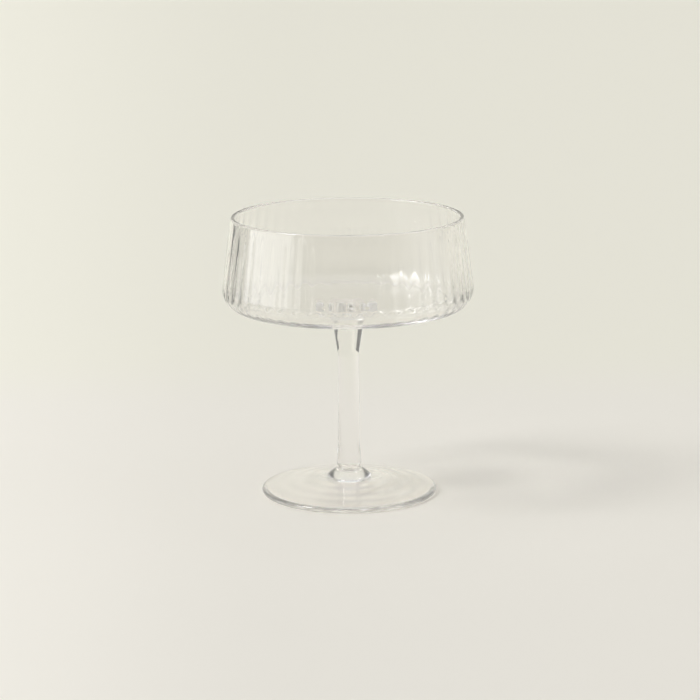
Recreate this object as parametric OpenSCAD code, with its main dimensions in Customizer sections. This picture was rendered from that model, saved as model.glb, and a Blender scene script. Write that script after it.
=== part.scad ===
// Coupe glass: a shallow ribbed bowl on a slim solid stem and a round foot.
// Three gathers of glass are fused hot: the bowl with its button, the stem, and the foot with its neck.
// Millimetres, +Z up, origin under the middle of the foot, on the plane that the glass stands on.

/* [Overall] */
// Height from the table to the top of the rim
glass_h = 120; // [110:0.5:135]

/* [Bowl] */
// Outside diameter of the rim
rim_d = 98.9; // [90:0.1:104]
// Outside diameter of the bowl where it is widest, just above its rounded corner
bowl_d = 106.9; // [102:0.1:120]
// Height of the bowl, from its flat underside to the top of the rim
bowl_h = 39.6; // [34:0.1:46]
// Radius of the outside corner between wall and underside
corner_r = 8.9; // [7.5:0.1:10.5]
// Thickness of the wall, which is also the width of the rounded rim
wall_t = 1.9; // [1.5:0.05:2.4]
// How much thicker the wall is just above the corner than at the rim
wall_gain = 0.2; // [0.1:0.1:0.6]
// Radius of the inside corner between wall and floor
inner_corner_r = 5.4; // [4.5:0.1:7]
// Thickness of the floor between the corner and the button
floor_t = 1.9; // [1.9:0.1:4]
// Diameter that the taper of the button would reach at the underside of the bowl
button_d = 15; // [13:0.1:18]
// Height of the button, from the upper weld to the underside of the bowl
button_l = 13.9; // [11:0.1:16]
// Radius of the sweep from the button into the underside
button_sweep_r = 6; // [4:0.1:10]

/* [Flutes] */
// Number of shallow flutes round the outside of the bowl, with a soft rib between each two
flute_count = 52; // [24:1:54]
// Depth of a flute on the wall
flute_depth = 0.2; // [0.15:0.05:0.5]
// Width of the flute's round groove at full depth
flute_w = 4.8; // [3:0.1:5]
// Height of the plain band between the top of the rim and the tips of the flutes
plain_band_h = 2.5; // [2:0.1:9]
// Length over which a flute fades out towards the plain band
rim_fade_l = 5; // [5:0.1:13]
// How much shallower a flute gets on its way round the corner
corner_fade = 0.05; // [0.05:0.05:0.1]

/* [Stem] */
// Diameter of the glass at the upper weld, where the stem meets the button
upper_weld_d = 11; // [10:0.1:12.4]
// Length over which the stem widens below the upper weld
upper_taper_l = 5.8; // [4:0.1:12]
// Diameter of the stem below the upper taper
stem_top_d = 9.2; // [8:0.1:9.6]
// Diameter of the stem above the lower taper
stem_bottom_d = 9.4; // [8:0.1:10]
// Length over which the stem widens above the lower weld
lower_taper_l = 7.4; // [4:0.1:12]
// Radius of the bend where the stem starts to widen towards the bowl
stem_bend_r = 25; // [10:1:40]

/* [Foot] */
// Height of the lower weld, where the stem meets the neck of the foot
lower_weld_z = 14.3; // [13:0.1:20]
// Diameter of the glass at the lower weld
lower_weld_d = 10.4; // [10.2:0.1:11.4]
// Outside diameter of the foot
foot_d = 75.1; // [66:0.1:90]
// Thickness of the rounded edge of the foot
foot_edge_t = 2.1; // [1.6:0.1:2.8]
// Height of the foot's upper surface at the bottom of the flare
crown_h = 6.9; // [5.5:0.1:8]
// Diameter of the flare at its bottom
flare_d = 19.4; // [16:0.1:22]
// Height of the top of the flare, where the neck starts
flare_top_z = 10.4; // [9.8:0.1:12.8]
// Radius of the bends above and below the flare
flare_bend_r = 1.2; // [1:0.1:3]
// Width of the flat ring that the glass stands on
rest_ring_w = 1.6; // [1:0.1:6]
// Depth of the hollow under the middle of the foot
underside_hollow = 3.8; // [1:0.1:4.2]
// Diameter of the level middle of that hollow
hollow_middle_d = 16; // [10:0.5:30]

/* [Hidden] */
$fn = 120;
glass_colour = [0.86, 0.9, 0.89, 0.55];
// Straight pieces that an arc or curve in an outline is drawn with
arc_steps = 10;
// How far a cutter or a hollow reaches past the glass that it cuts
overrun = 0.3;
// How far a straight outline sinks into the round that it runs along, so that the two join cleanly
join_overlap = 0.002;

// Bowl: the round of the corner and the round of the rim carry one straight wall between them
rim_bead_r = wall_t / 2;
rim_c = [rim_d / 2 - rim_bead_r, glass_h - rim_bead_r];
bowl_z = glass_h - bowl_h;
upper_weld_z = bowl_z - button_l;
corner_c = [bowl_d / 2 - corner_r, bowl_z + corner_r];
wall_run = rim_c - corner_c;
wall_round_step = corner_r - rim_bead_r;
wall_lean = atan2(wall_run[1], wall_run[0]) - acos(wall_round_step / norm(wall_run));
wall_l = sqrt(pow(norm(wall_run), 2) - pow(wall_round_step, 2));
floor_z = bowl_z + floor_t;
inner_corner_z = floor_z + inner_corner_r;
inner_corner_inset = inner_corner_r + wall_t + wall_gain - corner_r;
inner_corner_drop = corner_c[1] - inner_corner_z;
inner_corner_x = corner_c[0] - (inner_corner_inset - inner_corner_drop * sin(wall_lean)) / cos(wall_lean);
inner_wall_lean = wall_lean + atan(wall_gain / wall_l);

// Flutes: a round groove carried down the wall and round the corner
groove_r = (pow(flute_w / 2, 2) + pow(flute_depth, 2)) / (2 * flute_depth);
flute_bed_r = corner_r - flute_depth;
flute_turn_r = flute_bed_r + corner_fade;
rim_fade_r = pow(rim_fade_l, 2) / (2 * flute_depth);
rim_fade_turn = acos(1 - (flute_depth + overrun / 2) / rim_fade_r);
flute_straight_l = wall_l + rim_bead_r - plain_band_h - rim_fade_l;

// Foot
foot_edge_r = foot_edge_t / 2;
foot_edge_c = [foot_d / 2 - foot_edge_r, foot_edge_r];
crown_edge = [flare_d / 2, crown_h];
crown_run = foot_edge_c - crown_edge;
crown_slope = -atan2(crown_run[1], crown_run[0]) - asin(foot_edge_r / norm(crown_run));

// Points of an arc about c, from one angle to another
function arc(c, r, from, to) =
    [for (i = [0 : arc_steps]) let (a = from + (to - from) * i / arc_steps) c + r * [cos(a), sin(a)]];

// Points of the arc of radius r that rounds the corner q on the way from p to s
function bend(p, q, s, r) =
    let (
        u = (p - q) / norm(p - q),
        v = (s - q) / norm(s - q),
        mid = (u + v) / norm(u + v),
        half = acos(u * v) / 2,
        c = q + mid * r / sin(half),
        start = c - q - u * (u * (c - q)),
        end = c - q - v * (v * (c - q)),
        a0 = atan2(-start[1], -start[0]),
        turn = atan2(start[0] * end[1] - start[1] * end[0], start * end)
    )
    arc(c, r, a0, a0 + turn);

// Points of an S-curve from [r0, z0] to [r1, z1], upright at both ends
function ease(r0, z0, r1, z1) =
    [for (i = [0 : arc_steps]) let (t = i / arc_steps) [r0 + (r1 - r0) * t * t * (3 - 2 * t), z0 + (z1 - z0) * t]];

// Draws in the frame of the wall: origin at the centre of the corner, X square out of the wall, Y up along it
module in_wall_frame() {
    translate(corner_c) rotate(wall_lean) children();
}

module bowl_outside_outline() {
    under_z = bowl_z + join_overlap;
    weld = [upper_weld_d / 2, upper_weld_z];
    in_wall_frame() {
        circle(r = corner_r);
        square([corner_r, wall_l]);
    }
    polygon(concat(
        [[0, upper_weld_z], weld],
        bend(weld, [button_d / 2, under_z], [corner_c[0], under_z], button_sweep_r),
        [[corner_c[0], under_z], corner_c, [0, corner_c[1]]]
    ));
}

module bowl_inside_outline() {
    bottom_z = floor_z + join_overlap;
    translate([inner_corner_x, inner_corner_z]) rotate(inner_wall_lean) {
        circle(r = inner_corner_r);
        square([inner_corner_r, wall_l + corner_r]);
    }
    polygon([
        [0, bottom_z],
        [inner_corner_x, bottom_z],
        [inner_corner_x, inner_corner_z],
        [rim_c[0] - rim_bead_r, glass_h + overrun],
        [0, glass_h + overrun]
    ]);
}

module bowl_blank() {
    rotate_extrude() {
        difference() {
            bowl_outside_outline();
            bowl_inside_outline();
        }
        in_wall_frame() translate([wall_round_step, wall_l]) circle(r = rim_bead_r);
    }
}

// Section of a flute's cutter: X square out of the glass, with 0 on the bed of the groove
module flute_section() {
    intersection() {
        translate([groove_r, 0]) circle(r = groove_r);
        translate([-overrun, -flute_w / 2]) square([flute_depth + 2 * overrun, flute_w]);
    }
}

// Cutter of one flute: out of the wall at the top, straight down it, round the corner and out below
module flute_cutter() {
    translate([corner_c[0], 0, corner_c[1]]) rotate([90, 0, 0]) rotate([0, 0, wall_lean]) {
        translate([flute_bed_r, 0, 0]) {
            rotate([-90, 0, 0]) linear_extrude(height = flute_straight_l) flute_section();
            translate([0, flute_straight_l, 0]) translate([rim_fade_r, 0, 0]) rotate([0, 0, 180])
                rotate_extrude(angle = -rim_fade_turn)
                    translate([rim_fade_r, 0]) mirror([1, 0]) flute_section();
        }
        translate([-corner_fade, 0, 0]) {
            rotate_extrude(angle = -90) translate([flute_turn_r, 0]) flute_section();
            rotate([0, 0, -90]) translate([flute_turn_r, 0, 0])
                rotate([90, 0, 0]) linear_extrude(height = flute_w) flute_section();
        }
    }
}

module bowl() {
    color(glass_colour) difference() {
        bowl_blank();
        for (i = [0 : flute_count - 1]) rotate([0, 0, 360 * (i + 0.5) / flute_count]) flute_cutter();
    }
}

module stem() {
    top = [upper_weld_d / 2, upper_weld_z];
    taper_start = [stem_top_d / 2, upper_weld_z - upper_taper_l];
    lower_end = [stem_bottom_d / 2, lower_weld_z + lower_taper_l];
    color(glass_colour) rotate_extrude() polygon(concat(
        [[0, lower_weld_z]],
        ease(lower_weld_d / 2, lower_weld_z, lower_end[0], lower_end[1]),
        bend(lower_end, taper_start, top, stem_bend_r),
        [top, [0, upper_weld_z]]
    ));
}

module foot() {
    neck = [lower_weld_d / 2, lower_weld_z];
    flare_top = [lower_weld_d / 2, flare_top_z];
    edge_top = foot_edge_c + foot_edge_r * [sin(crown_slope), cos(crown_slope)];
    color(glass_colour) rotate_extrude() polygon(concat(
        [
            [0, underside_hollow],
            [hollow_middle_d / 2, underside_hollow],
            [foot_edge_c[0] - rest_ring_w, 0]
        ],
        arc(foot_edge_c, foot_edge_r, -90, 90 - crown_slope),
        bend(edge_top, crown_edge, flare_top, flare_bend_r),
        bend(crown_edge, flare_top, neck, flare_bend_r),
        [neck, [0, lower_weld_z]]
    ));
}

bowl();
stem();
foot();
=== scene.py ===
import math

import bpy
import numpy as np
from mathutils import Matrix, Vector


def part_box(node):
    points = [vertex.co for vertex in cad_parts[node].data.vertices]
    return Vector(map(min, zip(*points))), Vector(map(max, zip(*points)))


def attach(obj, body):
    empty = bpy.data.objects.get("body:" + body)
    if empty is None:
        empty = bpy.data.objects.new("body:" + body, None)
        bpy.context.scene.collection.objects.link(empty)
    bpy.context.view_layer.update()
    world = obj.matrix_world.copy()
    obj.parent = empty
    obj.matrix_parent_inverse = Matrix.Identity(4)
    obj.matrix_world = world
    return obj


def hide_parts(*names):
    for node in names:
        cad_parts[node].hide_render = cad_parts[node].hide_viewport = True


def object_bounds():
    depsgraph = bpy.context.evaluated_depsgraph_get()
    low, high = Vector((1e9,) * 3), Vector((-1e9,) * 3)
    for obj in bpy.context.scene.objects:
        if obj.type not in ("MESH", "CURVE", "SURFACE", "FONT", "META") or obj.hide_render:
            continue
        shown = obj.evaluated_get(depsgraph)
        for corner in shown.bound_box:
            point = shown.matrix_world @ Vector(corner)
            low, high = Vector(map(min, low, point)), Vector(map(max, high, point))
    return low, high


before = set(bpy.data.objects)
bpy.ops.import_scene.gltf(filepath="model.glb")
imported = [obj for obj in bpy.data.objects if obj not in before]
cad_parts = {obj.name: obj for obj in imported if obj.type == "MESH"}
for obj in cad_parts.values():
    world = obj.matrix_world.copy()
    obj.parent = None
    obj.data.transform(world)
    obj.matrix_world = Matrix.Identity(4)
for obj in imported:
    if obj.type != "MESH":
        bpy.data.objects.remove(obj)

cadLow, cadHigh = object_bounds()
mm = 0.001
leastStep = 0.0005 * mm         # points of a path closer together than this are one point
bowlLow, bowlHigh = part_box("bowl")
stemLow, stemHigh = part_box("stem")
footLow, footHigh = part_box("foot")
print("frame: glass is %.1f mm tall" % ((cadHigh.z - cadLow.z) / mm))


# Paths: each is an array of (radius, height) points, drawn with the air on its left

# Points spread evenly along the straight line from start to end. With an edge, there is also a point
# that far from each end, so that shading from a round beside the line doesn't spread along it
def straight(start, end, count, edge=0):
    near = edge / math.dist(start, end)
    share = np.unique(np.concatenate([[0, 1], np.linspace(near, 1 - near, count)]))[:, None]
    return np.array(start) * (1 - share) + np.array(end) * share


# Points of the circle of this radius about centre, between two angles in degrees
def arc(centre, radius, fromAngle, toAngle, count):
    angle = np.radians(np.linspace(fromAngle, toAngle, count))
    return np.array(centre) + radius * np.stack([np.cos(angle), np.sin(angle)], axis=1)


# The arc that rounds the corner between the lines to before and to after
def bend(before, corner, after, radius, count):
    before, corner, after = np.array(before), np.array(corner), np.array(after)
    u = (before - corner) / np.linalg.norm(before - corner)
    v = (after - corner) / np.linalg.norm(after - corner)
    middle = (u + v) / np.linalg.norm(u + v)
    centre = corner + middle * radius / math.sqrt((1 - u @ v) / 2)
    first = corner + u * (u @ (centre - corner)) - centre
    last = corner + v * (v @ (centre - corner)) - centre
    turn = math.degrees(math.atan2(first[0] * last[1] - first[1] * last[0], first @ last))
    start = math.degrees(math.atan2(first[1], first[0]))
    return arc(centre, radius, start, start + turn, count)


# Height falls steadily from top to bottom while the radius follows a smooth step between theirs
def easedTaper(top, bottom, count):
    share = np.linspace(0, 1, count)
    radius = bottom[0] + (top[0] - bottom[0]) * smoothStep(1 - share, 0, 1)
    return np.stack([radius, top[1] + (bottom[1] - top[1]) * share], axis=1)


# 0 below low, 1 above high, and 3t^2 - 2t^3 between
def smoothStep(value, low, high):
    t = np.clip((value - low) / (high - low), 0, 1)
    return t * t * (3 - 2 * t)


# Joins stretches of a path and drops points that repeat the one before
def joined(*stretches):
    path = np.vstack(stretches)
    step = np.linalg.norm(np.diff(path, axis=0), axis=1)
    return path[np.concatenate([[True], step > leastStep])]


# Long straight stretches of a path get points between, no further apart than step
def filled(path, step):
    stretches = [path[:1]]
    for start, end in zip(path[:-1], path[1:]):
        count = max(2, math.ceil(np.linalg.norm(end - start) / step) + 1)
        stretches.append(straight(start, end, count)[1:])
    return np.vstack(stretches)


# Unit normals of a path on its left side, from the direction between each point's neighbours
def leftNormals(path):
    along = np.gradient(path, axis=0)
    along /= np.linalg.norm(along, axis=1)[:, None]
    return np.stack([-along[:, 1], along[:, 0]], axis=1)


# Turned surface: point (s, a) is the path's point s, moved along its left normal by offset(s, a)
# and turned about Z by the angle a
def turnedSurface(path, around, offset):
    angle = np.arange(around) * (2 * math.pi / around)
    normal = leftNormals(path)
    move = offset(path[:, 0][:, None], path[:, 1][:, None], angle[None, :])
    radius = path[:, 0][:, None] + normal[:, 0][:, None] * move
    height = path[:, 1][:, None] + normal[:, 1][:, None] * move
    return np.stack([radius * np.cos(angle), radius * np.sin(angle), height], axis=2)


# Closed mesh of a turned path whose first and last points are on the axis, made single points.
# Each weld is the path's point at a weld's rim. That ring is sharp, and from it to the near pole lies
# the weld's disc, which takes the second material
def closedPiece(name, path, around, offset, materials, welds):
    surface = turnedSurface(path, around, offset)
    rings = len(path) - 2
    points = np.vstack([surface[:1, 0], surface[1:-1].reshape(-1, 3), surface[-1:, 0]])
    here = 1 + np.arange(rings * around).reshape(rings, around)
    beside = np.roll(here, -1, axis=1)
    topCap = np.stack([np.zeros(around, int), here[0], beside[0]], axis=1)
    endCap = np.stack([here[-1], np.full(around, len(points) - 1), beside[-1]], axis=1)
    walls = np.stack([here[:-1], here[1:], beside[1:], beside[:-1]], axis=2).reshape(-1, 4)
    mesh = bpy.data.meshes.new(name)
    mesh.from_pydata(points.tolist(), [], topCap.tolist() + walls.tolist() + endCap.tolist())
    mesh.polygons.foreach_set("use_smooth", np.ones(len(mesh.polygons), bool))
    edges = np.zeros(len(mesh.edges) * 2, int)
    mesh.edges.foreach_get("vertices", edges)
    edgeRing = (edges.reshape(-1, 2) - 1) // around
    sharp = np.zeros(len(mesh.edges), bool)
    wallRing = np.repeat(np.arange(1, rings), around)
    faceRing = np.concatenate([np.zeros(around), wallRing, np.full(around, rings)])
    slot = np.zeros(len(mesh.polygons), int)
    for weld in welds:
        ring = int(np.argmin(np.linalg.norm(path - np.array(weld), axis=1))) - 1
        sharp |= (edgeRing == ring).all(axis=1)
        disc = faceRing <= ring if ring < rings / 2 else faceRing > ring
        slot[disc] = 1
    mesh.attributes.new("sharp_edge", "BOOLEAN", "EDGE").data.foreach_set("value", sharp)
    for material in materials:
        mesh.materials.append(material)
    mesh.polygons.foreach_set("material_index", slot)
    mesh.validate()
    piece = bpy.data.objects.new(name, mesh)
    bpy.context.scene.collection.objects.link(piece)
    print("%s: %d faces" % (name, len(mesh.polygons)))
    return piece


# Shader values: arithmetic on a Wire adds the Math node that does it
class Wire:
    def __init__(self, shading, socket):
        self.shading = shading
        self.socket = socket

    def __add__(self, other):
        return self.shading.maths("ADD", self, other)

    def __sub__(self, other):
        return self.shading.maths("SUBTRACT", self, other)

    def __rsub__(self, other):
        return self.shading.maths("SUBTRACT", other, self)

    def __mul__(self, other):
        return self.shading.maths("MULTIPLY", self, other)

    def __rmul__(self, other):
        return self.shading.maths("MULTIPLY", other, self)

    def __truediv__(self, other):
        return self.shading.maths("DIVIDE", self, other)

    # 1 between low and high, fading smoothly to 0 over the width soft outside them
    def band(self, low, high, soft):
        return self.ramp(low - soft, low) * (1 - self.ramp(high, high + soft))

    # Smooth step from 0 at low to 1 at high
    def ramp(self, low, high):
        settings = {"interpolation_type": "SMOOTHSTEP"}
        node = self.shading.add("ShaderNodeMapRange", settings,
                                {"Value": self, "From Min": low, "From Max": high})
        return self.shading.out(node, "Result")


class Shading:
    def __init__(self, owner):
        owner.use_nodes = True
        self.tree = owner.node_tree
        self.tree.nodes.clear()

    # Adds a node: its settings first, then a value or a Wire for each socket named
    def add(self, kind, settings, inputs):
        node = self.tree.nodes.new(kind)
        for key, value in settings.items():
            setattr(node, key, value)
        for key, value in inputs.items():
            if isinstance(value, Wire):
                self.tree.links.new(value.socket, node.inputs[key])
            else:
                node.inputs[key].default_value = value
        return node

    def out(self, node, name):
        return Wire(self, node.outputs[name])

    def maths(self, operation, *values):
        node = self.add("ShaderNodeMath", {"operation": operation}, dict(enumerate(values)))
        return self.out(node, "Value")

    # x, y and z of a vector Wire
    def parts(self, vector):
        node = self.add("ShaderNodeSeparateXYZ", {}, {0: vector})
        return [self.out(node, axis) for axis in "XYZ"]

    def place(self, output):
        return self.out(self.add("ShaderNodeTexCoord", {}, {}), output)

    def noise(self, vector, scale, detail):
        node = self.add("ShaderNodeTexNoise", {}, {"Vector": vector, "Scale": scale, "Detail": detail})
        return self.out(node, "Fac")

    def mixColour(self, share, first, second):
        node = self.add("ShaderNodeMix", {"data_type": "RGBA"}, {"Factor": share, 6: first, 7: second})
        return Wire(self, node.outputs[2])


# Clear glass: the drawn or blown skin is very slightly wavy, with faint dull smudges and a faint tint
def glassMaterial(name, look):
    material = bpy.data.materials.new(name)
    shading = Shading(material)
    place = shading.place("Object")
    wave = shading.noise(place, look["waveScale"], 1)
    smudge = shading.noise(place, look["smudgeScale"], 2).ramp(*look["smudgeRange"])
    cloud = shading.noise(place, look["tintScale"], 1).ramp(*look["tintRange"])
    bump = shading.add("ShaderNodeBump", {}, {
        "Strength": look["waveStrength"], "Distance": look["waveDepth"], "Height": wave})
    shader = shading.add("ShaderNodeBsdfPrincipled", {}, {
        "Base Color": shading.mixColour(cloud, look["tint"], look["clearTint"]),
        "Roughness": look["smudgeRoughness"] * smudge,
        "Transmission Weight": 1,
        "IOR": look["refraction"],
        "Normal": shading.out(bump, "Normal")})
    shading.add("ShaderNodeOutputMaterial", {}, {"Surface": shading.out(shader, "BSDF")})
    return material


# The fused weld has no surface of its own, so light passes its disc unchanged
def weldMaterial():
    material = bpy.data.materials.new("fusedWeld")
    shading = Shading(material)
    shader = shading.add("ShaderNodeBsdfTransparent", {}, {})
    shading.add("ShaderNodeOutputMaterial", {}, {"Surface": shading.out(shader, "BSDF")})
    return material


glassLook = {
    "refraction": 1.5,
    "tint": (0.985, 0.98, 0.975, 1),
    "clearTint": (0.995, 0.99, 0.985, 1),
    "tintScale": 40,
    "tintRange": (0.3, 0.7),
    "waveScale": 90,
    "waveStrength": 0.3,
    "waveDepth": 0.01 * mm,
    "smudgeScale": 160,
    "smudgeRange": (0.62, 0.8),
    "smudgeRoughness": 0.03,
}
fusedWeld = weldMaterial()


bowl = {
    "height": 39.6 * mm,        # underside to rim
    "rimRadius": 49.45 * mm,
    "wall": 1.9 * mm,
    "floor": 1.9 * mm,
    "cornerRadius": 8.9 * mm,
    "insideRadius": 5.4 * mm,   # of the corner inside, where the glass is thickest
    "wallGain": 0.2 * mm,       # how much thicker the wall is at the corner than at the rim
    "buttonRadius": 7.5 * mm,   # where the button's taper would meet the underside
    "sweepRadius": 6 * mm,
    "weldRadius": 5.5 * mm,
    "nextRing": 0.3 * mm,       # straight stretches have a ring this close to the rounds beside them
    "ribs": 52,
    "ribDepth": 0.15 * mm,
    "ribTurn": 0.4,             # share of the pitch by which the ribs are turned from the X axis
    "plainBand": 1.5 * mm,
    "ribFade": 4 * mm,
    "ribEndRadius": 47 * mm,    # the ribs die out under the bowl here
    "ribFullRadius": 50 * mm,
    "cornerGain": 1.5,          # how much deeper they are round the corner
    "gainFullHeight": 4 * mm,   # above the underside
    "gainEndHeight": 14 * mm,
    "depthDrift": ((0.12, 3, 0.7), (0.08, 7, 2.1)),     # share of the depth, waves round the bowl, start
    "pitchDrift": ((0.25, 3, 1.0), (0.15, 5, 0.4)),     # the same in radians of the ribs' own wave
    "around": 936,              # eighteen points to a rib
}


# Path of the bowl: inside centre, floor, inside corner, inside wall, over the rim, outside wall,
# outside corner, underside, sweep, button, weld. The wall is the common tangent of the rounds of rim
# and corner, and the centre of the inside corner lies the wall's thickness in from it
def bowlPath(size):
    bead = size["wall"] / 2
    underside = bowlHigh.z - size["height"]
    floorTop = underside + size["floor"]
    rim = np.array([size["rimRadius"] - bead, bowlHigh.z - bead])
    corner = np.array([bowlHigh.x - size["cornerRadius"], underside + size["cornerRadius"]])
    run = rim - corner
    length = np.linalg.norm(run)
    tangent = math.acos((size["cornerRadius"] - bead) / length)
    lean = math.degrees(math.atan2(run[1], run[0]) - tangent)
    insideRadius = size["insideRadius"]
    rise = floorTop + insideRadius - corner[1]
    wallBelow = size["wall"] + size["wallGain"]
    inwards = insideRadius + wallBelow - size["cornerRadius"] + rise * math.sin(math.radians(lean))
    insideCorner = corner + np.array([-inwards / math.cos(math.radians(lean)), rise])
    weld = (size["weldRadius"], bowlLow.z)
    edge = size["nextRing"]
    insideLean = lean + math.degrees(size["wallGain"] / length)
    roundInside = arc(insideCorner, insideRadius, -90, insideLean, 18)
    overRim = arc(rim, bead, 180 + lean, lean, 14)
    roundCorner = arc(corner, size["cornerRadius"], lean, -90, 26)
    sweep = bend(roundCorner[-1], (size["buttonRadius"], underside), weld, size["sweepRadius"], 14)
    return joined(
        straight((0, floorTop), roundInside[0], 2, edge),
        roundInside,
        straight(roundInside[-1], overRim[0], 3, edge),
        overRim,
        straight(overRim[-1], roundCorner[0], 15, edge),
        roundCorner,
        straight(roundCorner[-1], sweep[0], 2, edge),
        sweep,
        straight(weld, (0, bowlLow.z), 3),
    )


# Sum of slow sine waves round the axis, each given as its height, its count and its start
def drift(waves, angle):
    return sum(height * np.sin(count * angle + start) for height, count, start in waves)


# Ribs: a cosine wave round the bowl, its depth and pitch varying slightly as a hand-made glass does.
# It fades in below the plain band and out under the bowl, and is deepest round the corner.
# The inside follows the outside, as in blown glass
def makeBowl(size):
    path = bowlPath(size)
    normal = leftNormals(path)
    outside = ((normal[:, 0] > 0.02) | (normal[:, 1] < -0.02))[:, None]     # faces outwards or down
    gainFull = bowlHigh.z - size["height"] + size["gainFullHeight"]
    gainEnd = bowlHigh.z - size["height"] + size["gainEndHeight"]
    weld = (size["weldRadius"], bowlLow.z)

    def offset(radius, height, angle):
        crest = math.radians(360 * size["ribTurn"])
        wave = np.cos(size["ribs"] * angle - crest + drift(size["pitchDrift"], angle))
        fade = smoothStep(bowlHigh.z - height, size["plainBand"], size["plainBand"] + size["ribFade"])
        fade = fade * smoothStep(radius, size["ribEndRadius"], size["ribFullRadius"])
        gain = 1 + (size["cornerGain"] - 1) * (1 - smoothStep(height, gainFull, gainEnd))
        depth = size["ribDepth"] * (1 + drift(size["depthDrift"], angle)) * fade * gain
        return depth * np.where(outside, 0.5 * wave - 0.5, -0.5 * wave)

    materials = [glassMaterial("bowlGlass", glassLook), fusedWeld]
    return closedPiece("bowlGlass", path, size["around"], offset, materials, [weld])


stem = {
    "topRadius": 5.5 * mm,
    "topTaper": 5.8 * mm,
    "waistTopRadius": 4.6 * mm,
    "waistBottomRadius": 4.7 * mm,
    "bottomTaper": 7.4 * mm,
    "bottomRadius": 5.2 * mm,
    "bendRadius": 25 * mm,
    "ringStep": 1.2 * mm,
    "drawDepth": 0.03 * mm,     # a drawn rod is never quite even
    "drawFade": 5 * mm,         # but it is at the welds
    "drawLength": 5 * mm,       # height in which the unevenness turns by a radian
    "drawTwist": 2,             # how many radians it wanders to each side round the rod
    "around": 96,
}


# Path of the stem: upper weld, taper, waist, lower taper, lower weld. A long shallow sine wave runs
# along it and wanders round it
def makeStem(size):
    top = (size["topRadius"], stemHigh.z)
    taperEnd = (size["waistTopRadius"], stemHigh.z - size["topTaper"])
    waistEnd = (size["waistBottomRadius"], stemLow.z + size["bottomTaper"])
    bottom = (size["bottomRadius"], stemLow.z)
    path = filled(joined(
        straight((0, stemHigh.z), top, 3),
        bend(top, taperEnd, waistEnd, size["bendRadius"], 12),
        easedTaper(waistEnd, bottom, 16),
        straight(bottom, (0, stemLow.z), 3),
    ), size["ringStep"])

    def offset(radius, height, angle):
        fade = smoothStep(height, stemLow.z, stemLow.z + size["drawFade"])
        fade = fade * (1 - smoothStep(height, stemHigh.z - size["drawFade"], stemHigh.z))
        turn = height / size["drawLength"] + size["drawTwist"] * np.sin(angle)
        return size["drawDepth"] * fade * np.sin(turn)

    materials = [glassMaterial("stemGlass", glassLook), fusedWeld]
    return closedPiece("stemGlass", path, size["around"], offset, materials, [top, bottom])


foot = {
    "edge": 2.1 * mm,           # thickness of the rounded edge
    "crown": 6.9 * mm,          # height of the upper surface where the flare starts
    "flareRadius": 9.7 * mm,
    "flareTop": 10.4 * mm,
    "flareBend": 1.2 * mm,
    "restRing": 1.6 * mm,
    "hollow": 3.8 * mm,
    "hollowMiddle": 8 * mm,
    "ringBend": 6 * mm,
    "hollowBend": 20 * mm,
    "weldRadius": 5.2 * mm,
    "ringStep": 1.1 * mm,
    "rippleDepth": 0.05 * mm,
    "rippleLength": 6.5 * mm,
    "rippleIn": (10 * mm, 15 * mm),     # radii between which the ripples grow
    "rippleOut": (31 * mm, 36 * mm),    # and die out again
    "rippleTwist": 0.8,
    "rippleDrift": 0.4,                 # how much their depth varies round the foot
    "around": 256,
}


# Path of the foot: weld, neck, flare, sloping top, rounded edge, rest ring, hollow underside.
# Spun ripples on the top: a sine wave of the radius that spirals slowly outwards
def makeFoot(size):
    edgeRadius = size["edge"] / 2
    edge = np.array([footHigh.x - edgeRadius, edgeRadius])
    crown = np.array([size["flareRadius"], size["crown"]])
    run = edge - crown
    slope = -math.degrees(math.atan2(run[1], run[0]) + math.asin(edgeRadius / np.linalg.norm(run)))
    neck = (size["weldRadius"], footHigh.z)
    flare = (size["weldRadius"], size["flareTop"])
    roundEdge = arc(edge, edgeRadius, 90 - slope, -90, 18)
    ring = (edge[0] - size["restRing"], 0)
    middle = (size["hollowMiddle"], size["hollow"])
    path = filled(joined(
        straight((0, footHigh.z), neck, 3),
        bend(neck, flare, crown, size["flareBend"], 10),
        bend(flare, crown, roundEdge[0], size["flareBend"], 12),
        roundEdge,
        bend((edge[0], 0), ring, middle, size["ringBend"], 8),
        bend(ring, middle, (0, size["hollow"]), size["hollowBend"], 10),
        np.array([(0, size["hollow"])]),
    ), size["ringStep"])
    topSide = (leftNormals(path)[:, 1] > 0.9)[:, None]

    def offset(radius, height, angle):
        span = smoothStep(radius, *size["rippleIn"]) * (1 - smoothStep(radius, *size["rippleOut"]))
        spiral = angle + size["rippleTwist"] * np.sin(2 * angle + 0.5)
        wave = np.sin(2 * math.pi * radius / size["rippleLength"] + spiral)
        side = 1 - size["rippleDrift"] + size["rippleDrift"] * np.sin(angle + 1.2)
        return topSide * span * size["rippleDepth"] * wave * side

    materials = [glassMaterial("footGlass", glassLook), fusedWeld]
    return closedPiece("footGlass", path, size["around"], offset, materials, [neck])


pieces = {"bowl": makeBowl(bowl), "stem": makeStem(stem), "foot": makeFoot(foot)}
for node, piece in pieces.items():
    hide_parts(node)
    node + "_glass"
    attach(piece, "root")
print("pieces: bowl, stem and foot stand for the frame's solids")


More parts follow.
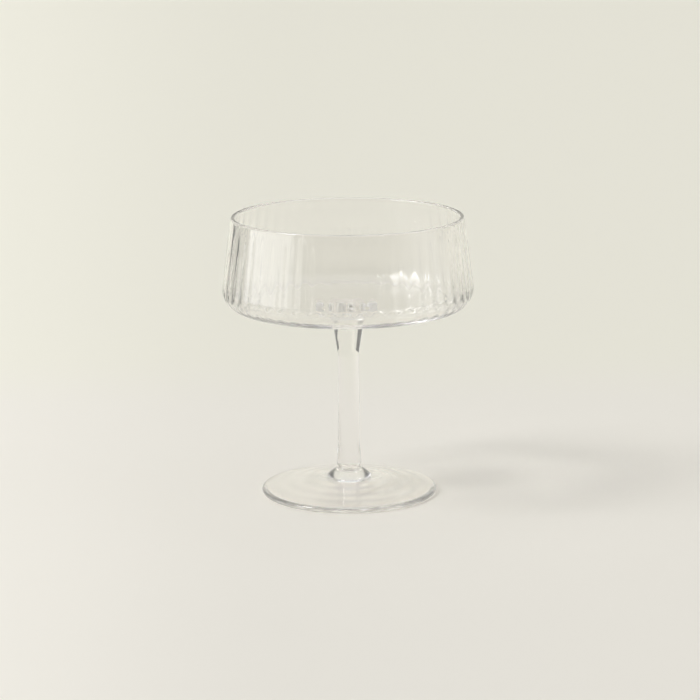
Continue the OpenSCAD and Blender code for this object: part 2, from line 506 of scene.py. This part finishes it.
# Paper and room. Colours are linear light, turns, rises and tops are degrees, and the other spans are
# of a direction's x from left to right or y from front to back, each from -1 to 1
room = {
    "paper": (0.838, 0.823, 0.717, 1),      # the sweep behind the glass
    "floorPaper": (0.838, 0.814, 0.736, 1),
    "paintedWindowGain": 1.12,                       # painted window light: how much brighter the floor's paper colour is made towards the window
    "floorSize": 14,                        # metres
    "floorLeft": 0.6,                       # metres of lit floor to the left of the glass
    "floorFront": 0.3,                      # and in front of it
    "floorDrop": 0.15 * mm,                 # air under the foot, so that it isn't wet to the paper
    "creamStart": (0.14, 0.28),             # metres behind the glass
    "fanEdge": (-0.19, -0.02),              # edge of the painted window light's fan, metres to the side of the glass, level with it
    "fanPoint": 1.0688,                     # metres in front of the glass
    "fanStart": (-0.6, -0.3),               # where the painted window light's fan starts, metres behind the glass, so in front of it
    "front": (0.14, 0.13, 0.12, 1),
    "frontSpan": (-0.8, -0.1),              # over which it gives way to left and right
    "left": (0.42, 0.42, 0.4, 1),
    "right": (0.8, 0.8, 0.78, 1),
    "sideSpan": (-0.5, 0.5),
    "back": (0.2, 0.2, 0.19, 1),            # beside and above the sheet of paper
    "backSpan": (0, 0.5),
    "sheet": (0.78, 0.765, 0.68, 1),        # the paper as the glass sees it
    "sheetTurn": (-28, 28),                 # to each side of the back
    "sheetTop": (31, 37),
    "sheetSoft": 6,
    "ceiling": (1.12, 1.12, 1.17, 1),
    "frontCeiling": (0.7, 0.7, 0.75, 1),
    "ceilingSpan": (-0.3, 0.3),
    "ceilingRise": (50, 65),
    "window": (1.9, 1.9, 1.93, 1),
    "windowTurn": (54.5, 108),              # left of the viewer's side
    "windowSoft": 1,
    "windowTop": (60, 62),
    "stripTurn": (43.8, 45.2),              # narrow light beside the window's frame
    "stripSoft": 0.4,
    "street": (1, 1, 1.02, 1),              # walls opposite, seen through the window
    "streetRise": (9.5, 24),
    "sky": (12, 12, 12.2, 1),               # the brightest part of the window
    "skyTurn": (62, 84),
    "skyRise": (38, 56),
    "viewSoft": 3,                          # of the edges of street and sky
    "clearSpan": (0.05, 0.25),              # over which the view through the glass becomes the room's
    "firstBounce": (0.2, 0.8),              # turns a count of bounces into 0 for none and 1 for any
}


# Level rectangle of paper from its near left corner to its far right one
def paperSheet(name, near, far, height, material):
    corners = [(near[0], near[1]), (far[0], near[1]), (far[0], far[1]), (near[0], far[1])]
    mesh = bpy.data.meshes.new(name)
    mesh.from_pydata([(x, y, height) for x, y in corners], [], [(0, 1, 2, 3)])
    mesh.materials.append(material)
    sheet = bpy.data.objects.new(name, mesh)
    bpy.context.scene.collection.objects.link(sheet)
    return sheet


# Floor paper: cooler near the glass and creamier where the sweep starts behind it,
# with painted window light: its colour is made brighter towards the window in a fan that widens with
# distance
def floorMaterial(size):
    material = bpy.data.materials.new("paper")
    shading = Shading(material)
    x, y, _ = shading.parts(shading.place("Object"))
    fan = x * size["fanPoint"] / (y + size["fanPoint"])
    cream = y.ramp(*size["creamStart"])
    # painted window light: the share of the floor whose colour is made brighter towards the window
    left = (1 - fan.ramp(*size["fanEdge"])) * y.ramp(*size["fanStart"])
    plain = shading.mixColour(cream, size["floorPaper"], size["paper"])
    gain = {0: plain, "Scale": size["paintedWindowGain"]}
    bright = shading.out(shading.add("ShaderNodeVectorMath", {"operation": "SCALE"}, gain), "Vector")
    colour = shading.mixColour(left, plain, bright)
    shader = shading.add("ShaderNodeBsdfDiffuse", {}, {"Color": colour})
    shading.add("ShaderNodeOutputMaterial", {}, {"Surface": shading.out(shader, "BSDF")})
    return material


# The lit floor ends in front and to the left of the glass, where the dark and the window begin for it.
# A wide sheet just below goes on from there for the eye alone, and neither lights nor shades anything
def makeFloor(size):
    half = size["floorSize"] / 2
    height = cadLow.z - size["floorDrop"]
    material = floorMaterial(size)
    paperSheet("floor", (-size["floorLeft"], -size["floorFront"]), (half, half), height, material)
    wide = paperSheet("wideFloor", (-half, -half), (half, half), height - size["floorDrop"], material)
    wide.visible_diffuse = False
    wide.visible_glossy = False
    wide.visible_transmission = False
    wide.visible_shadow = False


# 1 where an angle lies in this span of degrees, fading over soft degrees outside it
def within(angle, span, soft):
    return angle.band(math.radians(span[0]), math.radians(span[1]), math.radians(soft))


# 0 below a span of degrees and 1 above it
def above(angle, span):
    return angle.ramp(math.radians(span[0]), math.radians(span[1]))


# The room by direction: a sheet of paper of limited width behind the glass, with the dark beside and
# above it, dark in front, a bright ceiling, and to the left a tall window, which shows bright sky high
# up and walls lower down, with a narrow light beyond its frame
def roomLight(shading, size, x, y, z):
    turn = shading.maths("ARCTAN2", 0 - x, 0 - y)
    offBack = shading.maths("ARCTAN2", x, y)
    rise = shading.maths("ARCSINE", z)
    walls = shading.mixColour(x.ramp(*size["sideSpan"]), size["left"], size["right"])
    walls = shading.mixColour(y.ramp(*size["frontSpan"]), size["front"], walls)
    walls = shading.mixColour(y.ramp(*size["backSpan"]), walls, size["back"])
    sheet = within(offBack, size["sheetTurn"], size["sheetSoft"])
    sheet = sheet * (1 - above(rise, size["sheetTop"]))
    walls = shading.mixColour(sheet, walls, size["sheet"])
    ceiling = shading.mixColour(y.ramp(*size["ceilingSpan"]), size["frontCeiling"], size["ceiling"])
    closed = shading.mixColour(above(rise, size["ceilingRise"]), walls, ceiling)
    street = within(rise, size["streetRise"], size["viewSoft"])
    glow = shading.mixColour(street, size["window"], size["street"])
    sky = within(turn, size["skyTurn"], size["viewSoft"]) * within(rise, size["skyRise"], size["viewSoft"])
    glow = shading.mixColour(sky, glow, size["sky"])
    pane = within(turn, size["windowTurn"], size["windowSoft"])
    strip = within(turn, size["stripTurn"], size["stripSoft"])
    opening = (pane + strip) * (1 - above(rise, size["windowTop"]))
    return shading.mixColour(opening, closed, glow)


# What is seen straight past the glass is plain paper, and so is what is seen straight through it,
# except towards the back. All other light comes from the room
def makeRoom(size):
    world = bpy.data.worlds.new("room")
    bpy.context.scene.world = world
    shading = Shading(world)
    x, y, z = shading.parts(shading.place("Generated"))
    path = shading.add("ShaderNodeLightPath", {}, {})
    mirrored = shading.out(path, "Glossy Depth").ramp(*size["firstBounce"])
    scattered = shading.out(path, "Diffuse Depth").ramp(*size["firstBounce"])
    through = shading.out(path, "Is Transmission Ray") * (1 - mirrored) * (1 - scattered)
    through = through * (1 - y.ramp(*size["clearSpan"]))
    seen = shading.mixColour(through, roomLight(shading, size, x, y, z), size["paper"])
    seen = shading.mixColour(shading.out(path, "Is Camera Ray"), seen, size["paper"])
    shader = shading.add("ShaderNodeBackground", {}, {"Color": seen, "Strength": 1})
    shading.add("ShaderNodeOutputWorld", {}, {"Surface": shading.out(shader, "Background")})


makeFloor(room)
makeRoom(room)
print("room: floor, paper sweep and window")


view = {
    "across": 0.71 * mm,
    "back": 1068.8 * mm,
    "up": 296.8 * mm,
    "pitch": 12.4,              # degrees down
    "roll": -0.4,               # degrees, to share the photograph's slight lean between bowl and foot
    "lens": 131.74,             # millimetres, on a sensor this wide
    "sensor": 36,
    "bounces": 40,              # light runs a long way inside the rim, the foot and the stem
    "mirrorBounces": 32,
    "blur": 0,                  # keeps the light that falls through the glass clear
}


def makeCamera(size):
    data = bpy.data.cameras.new("camera")
    data.lens = size["lens"]
    data.sensor_width = size["sensor"]
    camera = bpy.data.objects.new("camera", data)
    camera.location = (size["across"], -size["back"], size["up"])
    tilt = Matrix.Rotation(math.radians(90 - size["pitch"]), 3, "X")
    roll = Matrix.Rotation(math.radians(size["roll"]), 3, "Z")
    camera.rotation_euler = (tilt @ roll).to_euler()
    bpy.context.scene.collection.objects.link(camera)
    bpy.context.scene.camera = camera


def setLight(size):
    bpy.context.scene.view_settings.view_transform = "Standard"
    cycles = bpy.context.scene.cycles
    cycles.blur_glossy = size["blur"]
    cycles.max_bounces = size["bounces"]
    cycles.glossy_bounces = size["mirrorBounces"]
    cycles.transmission_bounces = size["bounces"]


makeCamera(view)
setLight(view)
print("camera: %.0f mm lens, %.1f degrees down" % (view["lens"], view["pitch"]))
